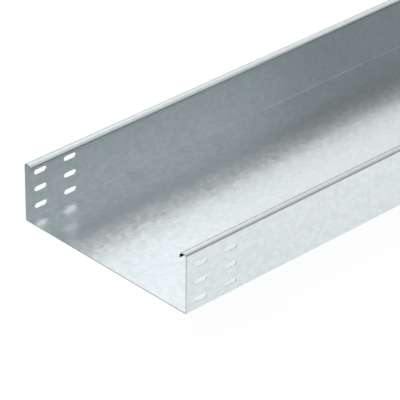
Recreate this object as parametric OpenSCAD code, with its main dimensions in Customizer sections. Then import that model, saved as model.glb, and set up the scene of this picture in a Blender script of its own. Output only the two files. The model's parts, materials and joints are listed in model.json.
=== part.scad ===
// Solid cable tray: one galvanised steel sheet folded into a floor, two upright side walls
// and an inward hooked rim along the top of each wall, with bolt slots near both ends.
// The tray lies along Y on the plane Z = 0, and its origin is the middle of its underside.

/* [Tray] */
// Width over the outer faces of the side walls
tray_w = 300; // [100:10:600]
// Height from the underside to the top of the rims
wall_h = 85; // [35:5:150]
// Length of one tray as it is sold
tray_l = 3000; // [1000:100:6000]

/* [Sheet] */
// Thickness of the steel sheet
sheet_t = 1.25; // [0.75:0.25:2]
// Inside radius of the sharp folds between the floor and the walls
floor_bend_r = 0.5; // [0.25:0.25:2.5]

/* [Rim] */
// Width of a rim, from the outer face of the wall to the face of the lip
rim_w = 12.5; // [10:0.5:25]
// Drop from the top of a rim to the lower edge of its lip
lip_drop = 8; // [6:0.5:15]
// Inside radius of the fold between a wall and its rim
rim_bend_r = 2.25; // [0.5:0.25:4]
// Inside radius of the rounder fold between a rim and its lip
lip_bend_r = 4.25; // [0.5:0.25:5]

/* [Joint slots] */
// Width of a slot, which takes an M6 bolt
slot_w = 7; // [5:0.5:10]
// Length of a slot from end to end
slot_l = 20; // [12:1:30]
// Columns of slots at each end of a wall
columns = 2; // [1:1:4]
// From the end of the tray to the middle of the first column
first_column = 25; // [16:1:60]
// Distance between the middles of two columns
column_pitch = 50; // [32:1:80]
// From the underside to the middle of the lowest row
first_row = 15; // [10:1:30]
// Distance between the middles of two rows
row_pitch = 25; // [15:1:40]
// Least distance from the top of the rim to the middle of the highest row
row_margin = 18; // [14:1:40]

/* [Hidden] */
$fn = 64;
zinc = [0.72, 0.77, 0.79];

// Outside radii of the folds
floor_fold_r = floor_bend_r + sheet_t;
rim_fold_r = rim_bend_r + sheet_t;
lip_fold_r = lip_bend_r + sheet_t;
// Straight stretches of the sheet between its folds
lip_flat = lip_drop - lip_fold_r;
rim_flat = rim_w - lip_fold_r - rim_fold_r;
wall_flat = wall_h - rim_fold_r - floor_fold_r;
floor_flat = tray_w - 2 * floor_fold_r;
// As many rows of slots as the height of the wall holds
rows = floor((wall_h - row_margin - first_row) / row_pitch) + 1;
// Distance between the centres of a slot's two round ends
slot_straight = slot_l - slot_w;
// Depth of a slot's cut, which stands clear of both faces of the wall
slot_cut = 3 * sheet_t;

// Quarter ring that turns the strip left by a right angle, from its outside radius
module fold(fold_r) {
    translate([0, fold_r])
        intersection() {
            difference() {
                circle(fold_r);
                circle(fold_r - sheet_t);
            }
            translate([0, -fold_r])
                square(fold_r);
        }
}

// Strip of sheet seen on edge: it runs along the given flats, with a left fold between each two
module folded_strip(flats, folds, step = 0) {
    square([flats[step], sheet_t]);
    if (step < len(folds))
        translate([flats[step], 0]) {
            fold(folds[step]);
            translate([folds[step], folds[step]])
                rotate(90)
                    folded_strip(flats, folds, step + 1);
        }
}

// Section of the tray, from the lower edge of one lip round to the other
module section() {
    translate([rim_w - tray_w / 2, wall_h - lip_drop])
        rotate(90)
            folded_strip(
                [lip_flat, rim_flat, wall_flat, floor_flat, wall_flat, rim_flat, lip_flat],
                [lip_fold_r, rim_fold_r, floor_fold_r, floor_fold_r, rim_fold_r, lip_fold_r]
            );
}

// Cutter for one slot through a wall, with its length along the tray
module slot() {
    rotate([0, 90, 0]) {
        cube([slot_w, slot_straight, slot_cut], center = true);
        for (side = [-1, 1])
            translate([0, side * slot_straight / 2, 0])
                cylinder(d = slot_w, h = slot_cut, center = true);
    }
}

// Cutters for the columns and rows of slots near both ends of both walls
module joint_slots() {
    for (wall = [-1, 1], end = [-1, 1], column = [0 : columns - 1], row = [0 : rows - 1])
        translate([
            wall * (tray_w - sheet_t) / 2,
            end * (tray_l / 2 - first_column - column * column_pitch),
            first_row + row * row_pitch
        ])
            slot();
}

// The folded sheet with its slots
module tray() {
    color(zinc)
        difference() {
            rotate([90, 0, 0])
                linear_extrude(height = tray_l, center = true)
                    section();
            joint_slots();
        }
}

tray();
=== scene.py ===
# %% [markdown]
# A solid cable tray is one galvanised steel sheet: a flat floor, two upright side walls, and a small
# hooked rim along the top of each wall. Bolt slots near its ends take the plates that join two trays.
# This lesson dresses the imported model of that tray. The imported model is the frame, and it gives the
# tray's size and the places of its slots, so it is loaded first.

# %% Load the frame
import json
import math

import bpy
import numpy as np
from mathutils import Matrix, Vector


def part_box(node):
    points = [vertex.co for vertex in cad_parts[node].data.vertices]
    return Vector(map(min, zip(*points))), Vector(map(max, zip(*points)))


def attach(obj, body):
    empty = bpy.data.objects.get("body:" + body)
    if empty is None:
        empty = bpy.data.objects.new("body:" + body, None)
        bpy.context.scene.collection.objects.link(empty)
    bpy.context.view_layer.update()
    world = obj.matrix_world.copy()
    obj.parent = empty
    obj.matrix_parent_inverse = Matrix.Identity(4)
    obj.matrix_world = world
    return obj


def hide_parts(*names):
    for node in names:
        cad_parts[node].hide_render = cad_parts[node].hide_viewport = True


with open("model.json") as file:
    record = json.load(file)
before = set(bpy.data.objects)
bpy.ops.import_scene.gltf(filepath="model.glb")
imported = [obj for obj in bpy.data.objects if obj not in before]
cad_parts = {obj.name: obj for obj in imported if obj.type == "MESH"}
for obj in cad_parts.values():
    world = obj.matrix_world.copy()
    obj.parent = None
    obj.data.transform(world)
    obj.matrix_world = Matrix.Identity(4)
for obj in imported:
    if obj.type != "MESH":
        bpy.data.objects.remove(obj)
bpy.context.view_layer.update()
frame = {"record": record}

# %% [markdown]
# The picture is taken from a corner with a long lens, which keeps the long edges nearly parallel.
# A camera could be turned by an aim constraint, but three plain turns say more: azimuth about the
# upright axis, elevation above the floor, and a slight roll about the line of sight. The camera then
# backs away along that line from the spot that it looks at.

# %% Camera
camera_azimuth = math.radians(46.36)
camera_elevation = math.radians(31.05)
camera_roll = math.radians(0.5)
camera_distance = 3.878
camera_lens_mm = 269.5
sensor_width_mm = 36
spot_looked_at = Vector((-0.0339, -1.3029, 0.00125))

turn = (
    Matrix.Rotation(camera_azimuth, 4, "Z")
    @ Matrix.Rotation(math.pi / 2 - camera_elevation, 4, "X")
    @ Matrix.Rotation(camera_roll, 4, "Z")
)
camera_data = bpy.data.cameras.new("camera")
camera_data.sensor_width = sensor_width_mm
camera_data.lens = camera_lens_mm
camera = bpy.data.objects.new("camera", camera_data)
camera.matrix_world = Matrix.Translation(spot_looked_at + turn.col[2].to_3d() * camera_distance) @ turn
bpy.context.scene.collection.objects.link(camera)
bpy.context.scene.camera = camera
bpy.context.scene.view_settings.view_transform = "Standard"
print("camera at", tuple(round(v, 3) for v in camera.matrix_world.translation))

# %% [markdown]
# The frame gives the tray's width, length and height. The sheet's own sizes are few: its thickness,
# the rim's width, the lip's drop and the inside radius of each kind of fold. The folds at the floor are
# sharp, those of the rim round, and the fold down to the lip is the roundest. The sheet turns the same
# way at all six, so its section is a row of straight runs with a fold between each two. A drawn profile
# would do, but a list of flats and folds is how a sheet worker would set the job out.

# %% Sizes of the folded sheet
MM = 0.001
tray_low, tray_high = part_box("tray")
tray_width, tray_length, wall_height = tray_high - tray_low
sheet_thickness = 1.25 * MM
floor_bend_radius = 0.5 * MM
rim_bend_radius = 2.25 * MM
lip_bend_radius = 4.25 * MM
rim_width = 12.5 * MM
lip_drop = 8 * MM
cut_edge_radius = 0.4 * MM

floor_fold = floor_bend_radius + sheet_thickness
rim_fold = rim_bend_radius + sheet_thickness
lip_fold = lip_bend_radius + sheet_thickness
lip_flat = lip_drop - lip_fold
rim_flat = rim_width - lip_fold - rim_fold
wall_flat = wall_height - rim_fold - floor_fold
floor_flat = tray_width - 2 * floor_fold
flats = [lip_flat, rim_flat, wall_flat, floor_flat, wall_flat, rim_flat, lip_flat]
fold_radii = np.array([lip_fold, rim_fold, floor_fold, floor_fold, rim_fold, lip_fold])
print("flats in mm:", [round(flat / MM, 2) for flat in flats])

# %% [markdown]
# Folding is a map from the flat blank to the tray. A point of the blank has a distance s across it,
# a place y along it and a depth into the sheet. Along s the section runs straight on a flat and turns
# left by a right angle on a fold, so each run needs only its start, its heading and its bend. With
# that, one function folds every point at once, and the same function turns the surface's normals.
# Every run has a name, from the left lip round to the right one, and its start is kept under that name.

# %% Fold map
run_count = 2 * len(flats) - 1
is_fold = np.arange(run_count) % 2 == 1
run_radii = np.ones(run_count)
run_radii[is_fold] = fold_radii
run_lengths = run_radii * math.pi / 2
run_lengths[~is_fold] = flats
run_starts = np.concatenate([[0], np.cumsum(run_lengths)])
run_headings = (1 + np.arange(run_count) // 2) * math.pi / 2
blank_width = run_starts[-1]
left_runs = ["left lip", "left lip fold", "left rim", "left rim fold", "left wall", "left floor fold"]
right_runs = ["right floor fold", "right wall", "right rim fold", "right rim", "right lip fold", "right lip"]
run_names = left_runs + ["floor"] + right_runs
begin = dict(zip(run_names, run_starts))


def ahead(heading):
    """Unit vector across the section, in x and z, that points along the heading."""
    return np.stack([np.cos(heading), np.sin(heading)], -1)


def leftward(heading):
    """Unit vector in x and z that points to the left of the heading, which is into the sheet."""
    return np.stack([-np.sin(heading), np.cos(heading)], -1)


fold_steps = run_radii[:, None] * (leftward(run_headings) - leftward(run_headings + math.pi / 2))
run_steps = np.where(is_fold[:, None], fold_steps, run_lengths[:, None] * ahead(run_headings))
first_point = np.array([[tray_low.x + rim_width, wall_height - lip_drop]])
run_points = np.concatenate([first_point, first_point + np.cumsum(run_steps, 0)])


def fold(across, along, depth):
    """Folds blank points. A flat adds its distance times its heading to the run's start. A fold adds the
    radius times the difference of the left vectors at its start and here. Depth goes left from there.
    Returns the points and the frame there: across, along and into the sheet."""
    run = np.clip(np.searchsorted(run_starts, across, side="right") - 1, 0, run_count - 1)
    gone = across - run_starts[run]
    start = run_headings[run]
    heading = start + np.where(is_fold[run], gone / run_radii[run], 0)
    straight = gone[:, None] * ahead(start)
    curved = run_radii[run][:, None] * (leftward(start) - leftward(heading))
    section = run_points[run] + np.where(is_fold[run][:, None], curved, straight)
    section = section + leftward(heading) * depth[:, None]
    points = np.stack([section[:, 0], along, section[:, 1]], -1)
    zero = np.zeros_like(heading)
    axes = np.stack(
        [
            np.stack([np.cos(heading), zero, np.sin(heading)], -1),
            np.stack([zero, zero + 1, zero], -1),
            np.stack([-np.sin(heading), zero, np.cos(heading)], -1),
        ],
        1,
    )
    return points, axes


print("blank is", round(blank_width / MM, 2), "mm wide before it is folded")

# %% [markdown]
# The bolt slots are punched while the sheet is flat. Their places come from the mounts of the packed
# record, and both ends of the tray have the same set. Each slot sits in a small rectangle of the blank.
# Rays from the centre of the slot's round end, one every ten degrees, cross that rectangle's border,
# and those crossings become the ticks of the blank's grid. So slot and grid share their points there.

# %% Slots and their rays
mounts = {mount["name"]: mount for mount in frame["record"]["mounts"]}
outer_slots = mounts["right_wall_slots"]
slot_radius = outer_slots["dims"]["hole_r_mm"] * MM
slot_half_straight = outer_slots["dims"]["slot_length_mm"] * MM / 2 - slot_radius
column_pitch = outer_slots["dims"]["spacing_x_mm"] * MM
row_pitch = outer_slots["dims"]["spacing_y_mm"] * MM / 2
slot_heights = outer_slots["pos_m"][2] + row_pitch * np.array([-1, 0, 1])
end_columns = outer_slots["pos_m"][1] + column_pitch * np.array([-0.5, 0.5])
slot_places = np.concatenate([end_columns, -end_columns[::-1]])

cell_half_height = 11 * MM
ray_step = 10
corner_ray = 40
upright_ray = 90
cell_half_length = slot_half_straight + cell_half_height / math.tan(math.radians(corner_ray))
long_side_rays = np.radians(np.arange(corner_ray, upright_ray + 1, ray_step))
short_side_rays = np.radians(np.arange(-corner_ray, corner_ray + 1, ray_step))
half_ticks = slot_half_straight + cell_half_height / np.tan(long_side_rays)
cell_ticks_along = np.concatenate([-half_ticks, half_ticks[::-1]])
cell_ticks_across = (cell_half_length - slot_half_straight) * np.tan(short_side_rays)

slot_acrosses = np.concatenate([
    begin["left wall"] + wall_height - rim_fold - slot_heights[::-1],
    begin["right wall"] + slot_heights - floor_fold,
])
print(len(slot_acrosses) * len(slot_places), "slots, columns at y", slot_places.round(4).tolist())

# %% [markdown]
# The blank is a grid of ticks across and along the sheet. A subdivided plane would give even squares, but
# chosen ticks put points only where the sheet needs them: a fold gets a tick every ten degrees or so, the
# long plain stretch only a few. Where a slot's rectangle lies, the grid leaves its squares out.

# %% Grid of the blank
fold_segments = 9
flat_segments = {"left lip": 3, "left rim": 4, "floor": 30, "right rim": 4, "right lip": 3}
middle_segments = 56


def run_ticks(run, count):
    """Evenly spaced ticks over one run of the section, count spaces in all."""
    return np.linspace(run_starts[run], run_starts[run + 1], count + 1)


slot_ticks = (slot_acrosses[:, None] + cell_ticks_across).ravel()
flat_ticks = [run_ticks(run_names.index(name), segments) for name, segments in flat_segments.items()]
fold_ticks = [run_ticks(run, fold_segments) for run in np.flatnonzero(is_fold)]
ticks_across = np.concatenate([*flat_ticks, *fold_ticks, slot_ticks])
ticks_across = np.unique(ticks_across.clip(cut_edge_radius, blank_width - cut_edge_radius).round(8))

end_place = tray_length / 2 - cut_edge_radius
plain_start = end_columns[-1] + cell_half_length
plain_ticks = np.linspace(plain_start, -plain_start, middle_segments + 1)
column_ticks = (slot_places[:, None] + cell_ticks_along).ravel()
ticks_along = np.unique(np.concatenate([[-end_place, end_place], plain_ticks, column_ticks]).round(8))


def within(middles, centres, half):
    """True for each middle that lies closer than half to one of the centres."""
    return (np.abs(middles[:, None] - centres) < half).any(1)


grid = np.stack(np.meshgrid(ticks_across, ticks_along, indexing="ij"), -1)
index = np.arange(grid[..., 0].size).reshape(grid.shape[:2])
grid_quads = np.stack([index[:-1, :-1], index[1:, :-1], index[1:, 1:], index[:-1, 1:]], -1)
in_row = within((ticks_across[1:] + ticks_across[:-1]) / 2, slot_acrosses, cell_half_height)
in_column = within((ticks_along[1:] + ticks_along[:-1]) / 2, slot_places, cell_half_length)
grid_quads = grid_quads[~(in_row[:, None] & in_column)]
print("grid:", len(ticks_across), "by", len(ticks_along), "ticks,", len(grid_quads), "squares")

# %% [markdown]
# In each gap of the grid a ring of faces runs from the rectangle's border in to the slot's outline. The
# outline point that belongs to a border point is found by one rule: go to the nearest point of the slot's
# middle line, then come back towards the border point by the slot's radius. A Boolean modifier could
# punch the slots too, but it leaves long thin faces. Points that fall together are welded at the end.

# %% Rings round the slots
high = np.full(len(cell_ticks_along) - 1, cell_half_height)
far = np.full(len(cell_ticks_across) - 1, cell_half_length)
border = np.concatenate([
    np.stack([cell_ticks_across[:-1], -far], -1),
    np.stack([high, cell_ticks_along[:-1]], -1),
    np.stack([cell_ticks_across[:0:-1], far], -1),
    np.stack([-high, cell_ticks_along[:0:-1]], -1),
])
middle_line = np.stack([0 * border[:, 0], border[:, 1].clip(-slot_half_straight, slot_half_straight)], -1)
inward = (border - middle_line) / np.linalg.norm(border - middle_line, axis=1, keepdims=True)
outline = middle_line + (slot_radius + cut_edge_radius) * inward
ring_shares = np.array([0, 0.45, 0.8, 1])[:, None, None]
ring = border * (1 - ring_shares) + outline * ring_shares
slot_centres = np.stack(np.meshgrid(slot_acrosses, slot_places, indexing="ij"), -1).reshape(-1, 1, 1, 2)
rings = slot_centres + ring

ring_index = np.arange(rings[..., 0].size).reshape(rings.shape[:3])
next_index = np.roll(ring_index, -1, 2)
ring_quads = np.stack([ring_index[:, :-1], next_index[:, :-1], next_index[:, 1:], ring_index[:, 1:]], -1)

loose = np.concatenate([grid.reshape(-1, 2), rings.reshape(-1, 2)])
loose_quads = np.concatenate([grid_quads.reshape(-1, 4), ring_quads.reshape(-1, 4) + grid[..., 0].size])
used, flat_index = np.unique(loose_quads, return_inverse=True)
weld_step = 1e-6
_, keep, weld = np.unique((loose[used] / weld_step).round(), axis=0, return_index=True, return_inverse=True)
blank = loose[used][keep]
quads = weld.ravel()[flat_index].reshape(-1, 4)
print("blank:", len(blank), "points,", len(quads), "faces on each side of the sheet")

# %% [markdown]
# Sheet has thickness, and shears and punches leave its cut edges slightly rounded. A Solidify and a
# Bevel modifier could do both, but here the edge is worked out as a profile carried along the cut:
# a quarter round, the straight cut, and a quarter round again. An edge of the blank is a cut where only
# one face uses it, so lips, ends and slots are all found by the same count. At a corner the profile
# reaches out further, so that both cuts that meet there lie where they should.

# %% Cut edges
edges = np.concatenate([np.stack([quads[:, k], quads[:, (k + 1) % 4]], -1) for k in range(4)])
codes = edges[:, 0] * len(blank) + edges[:, 1]
reverse_codes = edges[:, 1] * len(blank) + edges[:, 0]
cuts = edges[~np.isin(codes, reverse_codes)]

lines = blank[cuts[:, 1]] - blank[cuts[:, 0]]
lines = lines / np.linalg.norm(lines, axis=1, keepdims=True)
cut_normals = np.stack([lines[:, 1], -lines[:, 0]], -1)
outward = np.zeros_like(blank)
np.add.at(outward, cuts[:, 0], cut_normals)
np.add.at(outward, cuts[:, 1], cut_normals)
on_cut = np.unique(cuts)
outward = outward[on_cut]
outward = 2 * outward / (outward**2).sum(1, keepdims=True)

round_angles = np.radians([30, 60, 90])
angles = np.concatenate([round_angles, round_angles[::-1]])
rise = cut_edge_radius * (1 - np.cos(round_angles))
ring_depths = np.concatenate([rise, sheet_thickness - rise[::-1]])
ring_facing = np.concatenate([-np.cos(round_angles), np.cos(round_angles[::-1])])
ring_reach = cut_edge_radius * np.sin(angles)

cut_points = blank[on_cut] + ring_reach[:, None, None] * outward
cut_depths = np.broadcast_to(ring_depths[:, None], cut_points.shape[:2])
unit_outward = outward / np.linalg.norm(outward, axis=1, keepdims=True)
cut_facing = np.concatenate(
    [
        np.sin(angles)[:, None, None] * unit_outward,
        np.broadcast_to(ring_facing[:, None, None], (*cut_points.shape[:2], 1)),
    ],
    -1,
)
print(len(cuts), "cut edges, found on", len(on_cut), "points")

# %% [markdown]
# Now all points of the blank are put in one list, the outer face, the inner face and the cut edges, and
# the fold map bends them together. The faces of the outer side run the other way round, so that every
# face of the closed sheet points outwards. The normals are folded too, which keeps the flats flat and
# the folds round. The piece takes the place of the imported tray, whose folds have only a few facets.

# %% Folded tray
count = len(blank)
rings_of_cut = np.arange(len(angles) * len(on_cut)).reshape(len(angles), -1) + 2 * count
cut_rows = np.concatenate([on_cut[None], rings_of_cut, on_cut[None] + count])
place_on_cut = np.zeros(count, int)
place_on_cut[on_cut] = np.arange(len(on_cut))
first, second = place_on_cut[cuts].T
upper_rows, lower_rows = cut_rows[:-1], cut_rows[1:]
cut_quads = np.stack(
    [upper_rows[:, first], upper_rows[:, second], lower_rows[:, second], lower_rows[:, first]], -1
)

flat_points = np.concatenate([blank, blank, cut_points.reshape(-1, 2)])
depths = np.concatenate([np.zeros(count), np.full(count, sheet_thickness), cut_depths.ravel()])
facing = np.concatenate([
    np.tile([0.0, 0.0, -1.0], (count, 1)),
    np.tile([0.0, 0.0, 1.0], (count, 1)),
    cut_facing.reshape(-1, 3),
])
points, axes = fold(flat_points[:, 0], flat_points[:, 1], depths)
normals = (facing[:, :, None] * axes).sum(1)
faces = np.concatenate([quads[:, ::-1], quads + count, cut_quads.reshape(-1, 4)])


def mesh_piece(name, points, faces):
    """Makes a smooth mesh object of points and four-cornered faces, at the origin."""
    mesh = bpy.data.meshes.new(name)
    mesh.vertices.add(len(points))
    mesh.vertices.foreach_set("co", points.astype(np.float32).ravel())
    mesh.loops.add(faces.size)
    mesh.loops.foreach_set("vertex_index", faces.astype(np.int32).ravel())
    mesh.polygons.add(len(faces))
    mesh.polygons.foreach_set("loop_start", np.arange(0, faces.size, 4, dtype=np.int32))
    mesh.update(calc_edges=True)
    mesh.polygons.foreach_set("use_smooth", np.ones(len(faces), bool))
    piece = bpy.data.objects.new(name, mesh)
    bpy.context.scene.collection.objects.link(piece)
    return piece


tray = mesh_piece("folded_tray", points, faces)
tray.data.normals_split_custom_set_from_vertices(normals.astype(np.float32))
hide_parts("tray")
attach(tray, "root")
print("folded tray:", len(points), "points,", 2 * len(faces), "triangles, valid:", not tray.data.validate())

# %% [markdown]
# Making leaves marks on the coat, and shade and highlights are painted on it too. The shear bares the steel
# at the ends, and on the walls it bares the whole cut, while a punched slot keeps a smear of zinc. The
# shoulders of the rims get a little painted shade, and the fold of each lip a dark line of painted shade,
# where these folds mirror the dim room. The hollow under a rim and the edge of a lip get painted shade. The
# folds of the floor get a painted highlight, which fades towards the ends. Such marks could be painted by
# hand. Here each is a number from 0 to 1 on every point, worked out from the point's place on the blank, for
# the finish to read.

# %% Marks, painted shade and painted highlight on the coat
# The shoulder bands and lip lines are painted shade: dark bands on the folds, where they mirror the dim
# room.
shoulder_half_width = 3.8 * MM
shoulder_shift = 0.4 * MM
shoulder_shade = 0.34
lip_line_half_width = 1.4 * MM
lip_line_angle = math.radians(25)
lip_line_place = lip_fold * lip_line_angle
crease_fade_start = 1.0
crease_fade_end = 1.2
wall_runs = [run_names.index("left wall"), run_names.index("right wall")]
acrosses, alongs = flat_points.T
inside = depths > sheet_thickness / 2


def band(middles, half_width):
    """1 on lines at these distances across the blank, 0 from half_width off: one less the share squared."""
    return np.clip(1 - (np.abs(acrosses[:, None] - middles).min(1) / half_width) ** 2, 0, 1)


punched = within(blank[on_cut, 0], slot_acrosses, cell_half_height)
punched = punched & within(blank[on_cut, 1], slot_places, cell_half_length)
cut_runs = np.searchsorted(run_starts, blank[on_cut, 0], side="right") - 1
bareness = np.where(np.isin(cut_runs, wall_runs), 1, np.sin(angles)[:, None]) * ~punched
bared = np.concatenate([np.zeros(2 * count), bareness.ravel()])

past_wall = np.maximum(begin["left wall"] - acrosses, acrosses - begin["right rim fold"])
lip_cut = np.abs(acrosses - blank_width / 2) > blank_width / 2 - cut_edge_radius
# Painted shade: the inner face in the hollow under each rim and the cut edge of each lip.
rim_shade = np.where(inside, np.clip(past_wall / rim_fold, 0, 1), lip_cut)
shoulders = np.array([begin["left rim fold"], begin["right rim"]]) + shoulder_shift
lip_lines = np.array([begin["left lip fold"] + lip_line_place, begin["right lip"] - lip_line_place])
# Painted shade on the rims' shoulders and in the lips' folds.
fold_shade = shoulder_shade * band(shoulders, shoulder_half_width) + band(lip_lines, lip_line_half_width)
fold_shade = fold_shade * ~inside

left_fold_middle = (begin["left floor fold"] + begin["floor"]) / 2
right_fold_middle = (begin["right floor fold"] + begin["right wall"]) / 2
fold_middles = np.array([left_fold_middle, right_fold_middle])
fading = np.clip((crease_fade_end - np.abs(alongs)) / (crease_fade_end - crease_fade_start), 0, 1)
# Painted highlight along the inside of the floor's folds, bright in the middle of the tray and fading
# towards the ends.
crease_highlight = band(fold_middles, floor_fold * math.pi / 4) * inside * fading

marks = {"bared": bared, "rim_shade": rim_shade, "fold_shade": fold_shade, "crease_highlight": crease_highlight}
for name, values in marks.items():
    attribute = tray.data.attributes.new(name, "FLOAT", "POINT")
    attribute.data.foreach_set("value", values.astype(np.float32))
print("marked points:", {name: int((values > 0).sum()) for name, values in marks.items()})

# %% [markdown]
# A finish is a small graph of nodes, and graphs are easier to read as sums. So one little class holds a
# node's output, and adding or multiplying two of them adds the Math node for it. Everything else, such
# as a texture, comes from one method that names the node, its settings and what goes into its sockets.


# %% Shader sums
class Wire:
    """An output of a node tree. Sums of wires and numbers add Math nodes to the tree."""

    def __init__(self, tree, socket=None):
        self.tree = tree
        self.socket = socket

    def node(self, kind, settings, inputs, output=0):
        """Adds a node from its type, its settings and the values or wires of its sockets."""
        made = self.tree.nodes.new("ShaderNode" + kind)
        for name, value in settings.items():
            setattr(made, name, value)
        for name, value in inputs.items():
            if isinstance(value, Wire):
                self.tree.links.new(value.socket, made.inputs[name])
            else:
                made.inputs[name].default_value = value
        return Wire(self.tree, made.outputs[output] if made.outputs else None)

    def math(self, operation, first, second):
        """Adds a Math node that works on two wires, or on a wire and a number."""
        return self.node("Math", {"operation": operation}, {0: first, 1: second})

    def __add__(self, other):
        return self.math("ADD", self, other)

    def __radd__(self, other):
        return self.math("ADD", other, self)

    def __sub__(self, other):
        return self.math("SUBTRACT", self, other)

    def __rsub__(self, other):
        return self.math("SUBTRACT", other, self)

    def __mul__(self, other):
        return self.math("MULTIPLY", self, other)

    def __rmul__(self, other):
        return self.math("MULTIPLY", other, self)


def new_finish(name):
    """Makes a material with an empty node tree, and returns it with a wire to build on."""
    material = bpy.data.materials.new(name)
    material.use_nodes = True
    material.node_tree.nodes.clear()
    return material, Wire(material.node_tree)


def mix(share, first, second):
    """Colour that goes from the first to the second as the share, a wire, goes from 0 to 1."""
    return share.node("Mix", {"data_type": "RGBA"}, {0: share, 6: first, 7: second}, 2)


print("shader sums ready")

# %% [markdown]
# Strip galvanised steel is bright zinc with a fine spangle: crystals a few millimetres wide, and a little
# longer the way that the strip ran through the bath. Each has its own tone and tilt, so that some flash
# and some stay grey. Random cells, drawn out along the tray, give both. Finer noise adds the grain between
# them, and broad noise the cloudy patches of a dipped coat, which also change its gloss a little. Then
# each mark mixes in its own colour: bare steel at the cuts, and painted shade and a painted highlight on the
# folds. The painted shade in the hollow under a rim is the darkest, and it is much rougher too.

# %% Zinc finish
zinc, wire = new_finish("galvanised_zinc")
place = wire.node("TexCoord", {}, {}, "Object")
crystal_size = 5 * MM
crystal_stretch = 1.4
crystal_tilt = 0.03
grain_size = 1.2 * MM
grain_height = 0.05 * MM
cloud_size = 120 * MM
crystal_share = 0.65
grain_share = 0.2
cloud_share = 0.15
grain_strength = 0.15
plain_roughness = 0.283
cloud_roughness = 0.02
crystal_gloss = 0.008
bared_roughness = 0.2
rim_shade_roughness = 0.3


def noise(size, detail):
    """Noise from 0 to 1 whose lumps are about this many metres wide."""
    return wire.node("TexNoise", {}, {"Vector": place, "Scale": 1 / size, "Detail": detail}, "Fac")


drawn_out = wire.node("Mapping", {}, {"Vector": place, "Scale": (1, 1 / crystal_stretch, 1)})
cells = {"Vector": drawn_out, "Scale": 1 / crystal_size}
crystal = wire.node("TexVoronoi", {"feature": "F1"}, cells, "Color")
crystal_tone = wire.node("SeparateColor", {}, {"Color": crystal}, 0)
grain = noise(grain_size, detail=3)
cloud = noise(cloud_size, detail=2)
mark = {name: wire.node("Attribute", {"attribute_name": name}, {}, "Fac") for name in marks}

zinc_light = (0.765, 0.831, 0.846, 1)
zinc_dark = (0.661, 0.72, 0.734, 1)
# Grey of the painted shade on the rims' shoulders and in the lips' folds.
fold_shade_zinc = (0.41, 0.445, 0.455, 1)
# Near-white colour of the painted highlight in the floor's folds.
crease_highlight_zinc = (0.93, 0.96, 0.97, 1)
bare_steel = (0.40, 0.41, 0.41, 1)
# Near-black colour of the painted shade in the hollow under each rim and on the lip's edge.
rim_shade_zinc = (0.06, 0.065, 0.065, 1)
tone = crystal_share * crystal_tone + grain_share * grain + cloud_share * cloud
colour = mix(tone, zinc_dark, zinc_light)
# Painted shade on the rims' shoulders and in the lips' folds.
colour = mix(mark["fold_shade"], colour, fold_shade_zinc)
# Painted highlight in the floor's folds.
colour = mix(mark["crease_highlight"], colour, crease_highlight_zinc)
colour = mix(mark["bared"], colour, bare_steel)
# Painted shade in the hollow under each rim and on the lip's edge.
colour = mix(mark["rim_shade"], colour, rim_shade_zinc)

centred = wire.node("VectorMath", {"operation": "SUBTRACT"}, {0: crystal, 1: (0.5, 0.5, 0.5)})
tilt = wire.node("VectorMath", {"operation": "SCALE"}, {0: centred, "Scale": crystal_tilt})
plain_normal = wire.node("NewGeometry", {}, {}, "Normal")
tilted = wire.node("VectorMath", {"operation": "ADD"}, {0: plain_normal, 1: tilt})
facet = wire.node("VectorMath", {"operation": "NORMALIZE"}, {0: tilted})
bump = wire.node(
    "Bump",
    {},
    {"Strength": grain_strength, "Distance": grain_height, "Height": grain, "Normal": facet},
)
roughness = plain_roughness + cloud_roughness * cloud - crystal_gloss * crystal_tone
roughness = roughness + bared_roughness * mark["bared"] + rim_shade_roughness * mark["rim_shade"]
surface = wire.node(
    "BsdfPrincipled",
    {},
    {"Base Color": colour, "Metallic": 1, "Roughness": roughness, "Normal": bump},
)
wire.node("OutputMaterial", {}, {"Surface": surface})
tray.data.materials.append(zinc)
print("zinc finish:", len(zinc.node_tree.nodes), "nodes")

# %% [markdown]
# The tray lies on a plain white studio floor. It is a wide sheet, so that low views see no edge of it.
# White paper under lamps is never quite white in a picture, so most of the floor's brightness towards the
# camera and in the metal's reflections is a glow of its own. The rest comes from the lamps, and in that
# part the tray's soft shadow shows.

# %% Studio floor
floor_half = 60
floor_drop = 0.2 * MM
floor_tick_count = 13
floor_ticks = np.linspace(-floor_half, floor_half, floor_tick_count)
sheet_x, sheet_y = np.meshgrid(floor_ticks, floor_ticks, indexing="ij")
sheet = np.stack([sheet_x, sheet_y, np.full_like(sheet_x, -floor_drop)], -1)
corner = np.arange(sheet_x.size).reshape(sheet_x.shape)
sheet_quads = np.stack([corner[:-1, :-1], corner[1:, :-1], corner[1:, 1:], corner[:-1, 1:]], -1)
sheet_quads = sheet_quads.reshape(-1, 4)
studio_floor = mesh_piece("studio_floor", sheet.reshape(-1, 3), sheet_quads)

paper, wire = new_finish("studio_paper")
to_camera = wire.node("LightPath", {}, {}, "Is Camera Ray")
to_gloss = wire.node("LightPath", {}, {}, "Is Glossy Ray")
to_glass = wire.node("LightPath", {}, {}, "Is Transmission Ray")
seen = wire.math("MINIMUM", to_camera + to_gloss + to_glass, 1)
glow_share = 0.8
glow_strength = 1.1
paper_white = (0.9, 0.9, 0.9, 1)
lit = wire.node("BsdfDiffuse", {}, {"Color": paper_white})
glow = wire.node("Emission", {}, {"Color": (1, 1, 1, 1), "Strength": glow_strength})
mixed = wire.node("MixShader", {}, {0: seen * glow_share, 1: lit, 2: glow})
wire.node("OutputMaterial", {}, {"Surface": mixed})
studio_floor.data.materials.append(paper)
print("studio floor:", len(sheet_quads), "faces")

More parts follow.
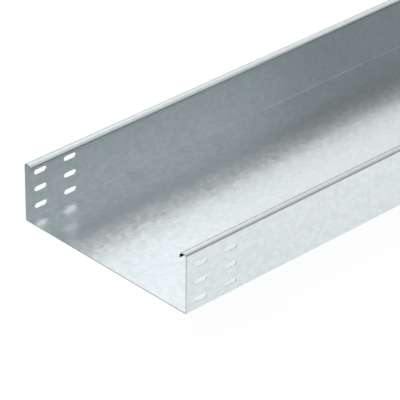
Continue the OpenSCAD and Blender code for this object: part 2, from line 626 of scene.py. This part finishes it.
# %% [markdown]
# Metal shows its surroundings, so each lamp is placed by what a face mirrors. The tray's floor looks up to
# the back left, at a large softbox and a far strip light, and its near end also at a small softbox. The
# far wall mirrors the tray's floor, and in it the dim room at the back right, so it is much darker. A
# panel above the near wall lights it at this end. A lamp of this kind shines from one side, so the near
# rim behind the panel doesn't see it. The room is a soft grey, dim low down and light overhead. A weak
# softbox at the back right lifts the dark shoulder of the near rim a little, and one at the front right is
# for the sides that the picture hides.

# %% Room and softboxes
room = bpy.data.worlds.new("studio_room")
room.use_nodes = True
room.node_tree.nodes.clear()
bpy.context.scene.world = room
wire = Wire(room.node_tree)
direction = wire.node("TexCoord", {}, {}, "Generated")
height = wire.node("SeparateXYZ", {}, {"Vector": direction}, "Z")
low_grey = (0.21, 0.21, 0.21, 1)
overhead_grey = (0.8, 0.8, 0.8, 1)
lift_start = 0.5
lift_end = 0.75
lift = wire.node(
    "MapRange",
    {"interpolation_type": "SMOOTHSTEP"},
    {"Value": height, "From Min": lift_start, "From Max": lift_end},
)
backdrop = wire.node("Background", {}, {"Color": mix(lift, low_grey, overhead_grey), "Strength": 1})
wire.node("OutputWorld", {}, {"Surface": backdrop})


def softbox(name, centre, target, width, height, radiance):
    """Area lamp that faces the target. Its power is the radiance of its face times pi times its area."""
    lamp = bpy.data.lights.new(name, "AREA")
    lamp.shape = "RECTANGLE"
    lamp.size = width
    lamp.size_y = height
    lamp.energy = radiance * math.pi * width * height
    box = bpy.data.objects.new(name, lamp)
    box.location = centre
    box.rotation_euler = (Vector(target) - Vector(centre)).to_track_quat("-Z", "Y").to_euler()
    box.visible_camera = False
    bpy.context.scene.collection.objects.link(box)


near_end = (0, -1.2, 0)
softbox("back_left_softbox", (-2.41, 1.48, 2.27), near_end, 4.96, 2.52, 0.363)
softbox("left_strip_light", (-5.44, 2.01, 3.17), near_end, 4.96, 1.46, 0.9)
softbox("small_left_softbox", (-0.92, -0.53, 1.25), near_end, 0.25, 0.5, 0.88)
softbox("right_softbox", (0.12, -1.25, 0.385), (-1, -1.25, 0.385), 0.9, 0.5, 0.29)
softbox("back_right_softbox", (2.5, 0.7, 0.75), near_end, 1.6, 0.9, 0.16)
softbox("front_right_softbox", (2.2, -3.6, 2.0), near_end, 1.8, 1.8, 0.8)
print("room and", len(bpy.data.lights), "softboxes")
